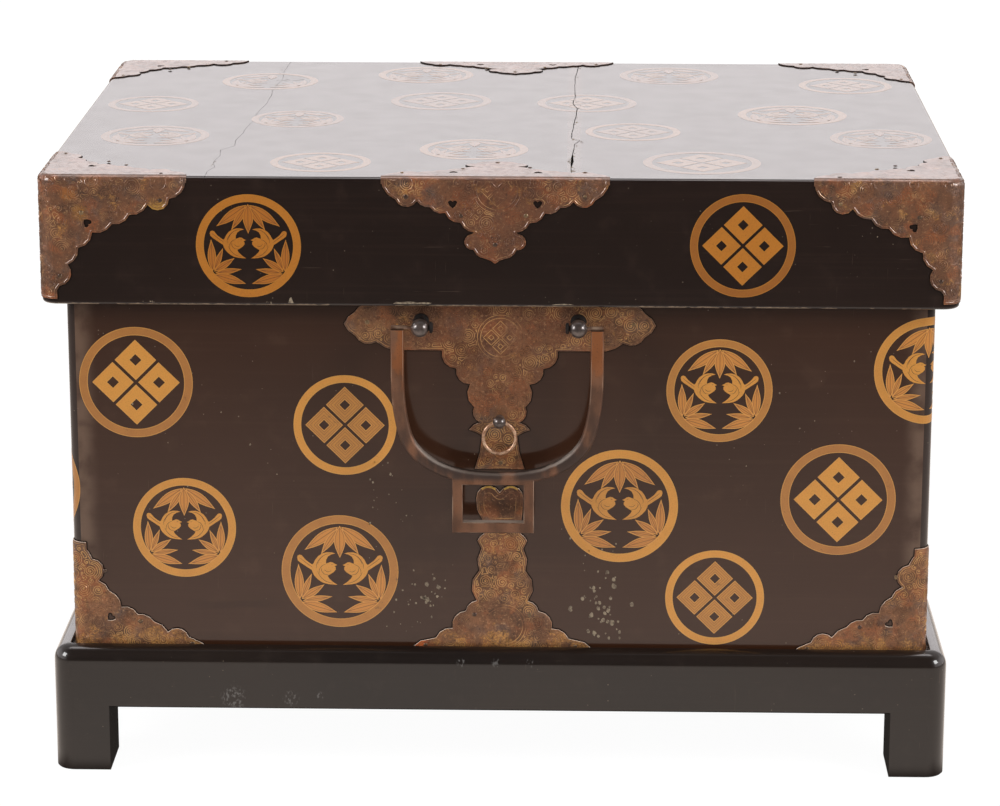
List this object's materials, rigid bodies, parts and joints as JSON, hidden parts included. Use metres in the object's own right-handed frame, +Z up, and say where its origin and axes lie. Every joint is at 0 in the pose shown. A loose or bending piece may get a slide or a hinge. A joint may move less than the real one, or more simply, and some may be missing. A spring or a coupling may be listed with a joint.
{
  "type": "lacquered travelling box on a stand",
  "caption": "Lacquered travelling box with a deep lift-off lid, pierced copper corner plates and iron carrying bails with pole loops, sitting in a low footed stand.",
  "frame": {"origin": "on the floor, in the middle of the stand", "axes": "+Z up, +X to the right seen from the front, +Y to the back"},
  "size_m": [0.643, 0.5118, 0.4376],
  "materials": {
    "lacquer": "worn black-brown lacquer with gold roundels, satin",
    "stand_lacquer": "plain black-brown lacquer, semi-gloss",
    "bare_wood": "unfinished softwood",
    "copper": "aged copper, engraved, with worn gilding",
    "iron": "forged iron, brown patina, rubbed bright on the edges",
    "dark_iron": "polished dark iron",
    "brass": "worn brass wire"
  },
  "bodies": {
    "stand": {"stand_front_rail": "stand_lacquer", "stand_leg_front_left": "stand_lacquer", "stand_leg_front_right": "stand_lacquer", "stand_back_rail": "stand_lacquer", "stand_leg_back_left": "stand_lacquer", "stand_leg_back_right": "stand_lacquer", "stand_left_rail": "stand_lacquer", "stand_right_rail": "stand_lacquer"},
    "box": {"box_front_board": "lacquer", "front_upper_plate": "copper", "front_lower_plate": "copper", "front_ring_stud": "dark_iron", "box_corner_plate_front_left": "copper", "front_bail_stud_left": "dark_iron", "box_corner_plate_front_right": "copper", "front_bail_stud_right": "dark_iron", "box_back_board": "lacquer", "back_upper_plate": "copper", "back_lower_plate": "copper", "back_ring_stud": "dark_iron", "box_corner_plate_back_left": "copper", "back_bail_stud_left": "dark_iron", "box_corner_plate_back_right": "copper", "back_bail_stud_right": "dark_iron", "box_left_board": "lacquer", "box_right_board": "lacquer", "box_bottom_board": "bare_wood"},
    "lid": {"lid_front_board": "lacquer", "front_lid_plate": "copper", "lid_corner_plate_front_left": "copper", "lid_corner_plate_front_right": "copper", "lid_back_board": "lacquer", "back_lid_plate": "copper", "lid_corner_plate_back_left": "copper", "lid_corner_plate_back_right": "copper", "lid_left_board": "lacquer", "lid_right_board": "lacquer", "lid_left_plank": "lacquer", "lid_middle_plank": "lacquer", "lid_right_plank": "lacquer"},
    "front_bail": {"front_bail": "iron"},
    "back_bail": {"back_bail": "iron"},
    "front_ring": {"front_ring": "brass"},
    "back_ring": {"back_ring": "brass"}
  },
  "joints": [
    {"name": "box_lift", "type": "slide", "parent": "stand", "child": "box", "axis": [0, 0, 1], "range_m": [0, 0.06]},
    {"name": "lid_lift", "type": "slide", "parent": "box", "child": "lid", "axis": [0, 0, 1], "range_m": [0, 0.16]},
    {"name": "front_bail_swing", "type": "hinge", "parent": "box", "child": "front_bail", "pos_m": [0, -0.2495, 0.3315], "axis": [-1, 0, 0], "range_deg": [0, 180]},
    {"name": "back_bail_swing", "type": "hinge", "parent": "box", "child": "back_bail", "pos_m": [0, 0.2495, 0.3315], "axis": [1, 0, 0], "range_deg": [0, 180]},
    {"name": "front_ring_swing", "type": "hinge", "parent": "box", "child": "front_ring", "pos_m": [0, -0.236, 0.2604], "axis": [-1, 0, 0], "range_deg": [0, 165]},
    {"name": "back_ring_swing", "type": "hinge", "parent": "box", "child": "back_ring", "pos_m": [0, 0.236, 0.2604], "axis": [1, 0, 0], "range_deg": [0, 165]}
  ]
}
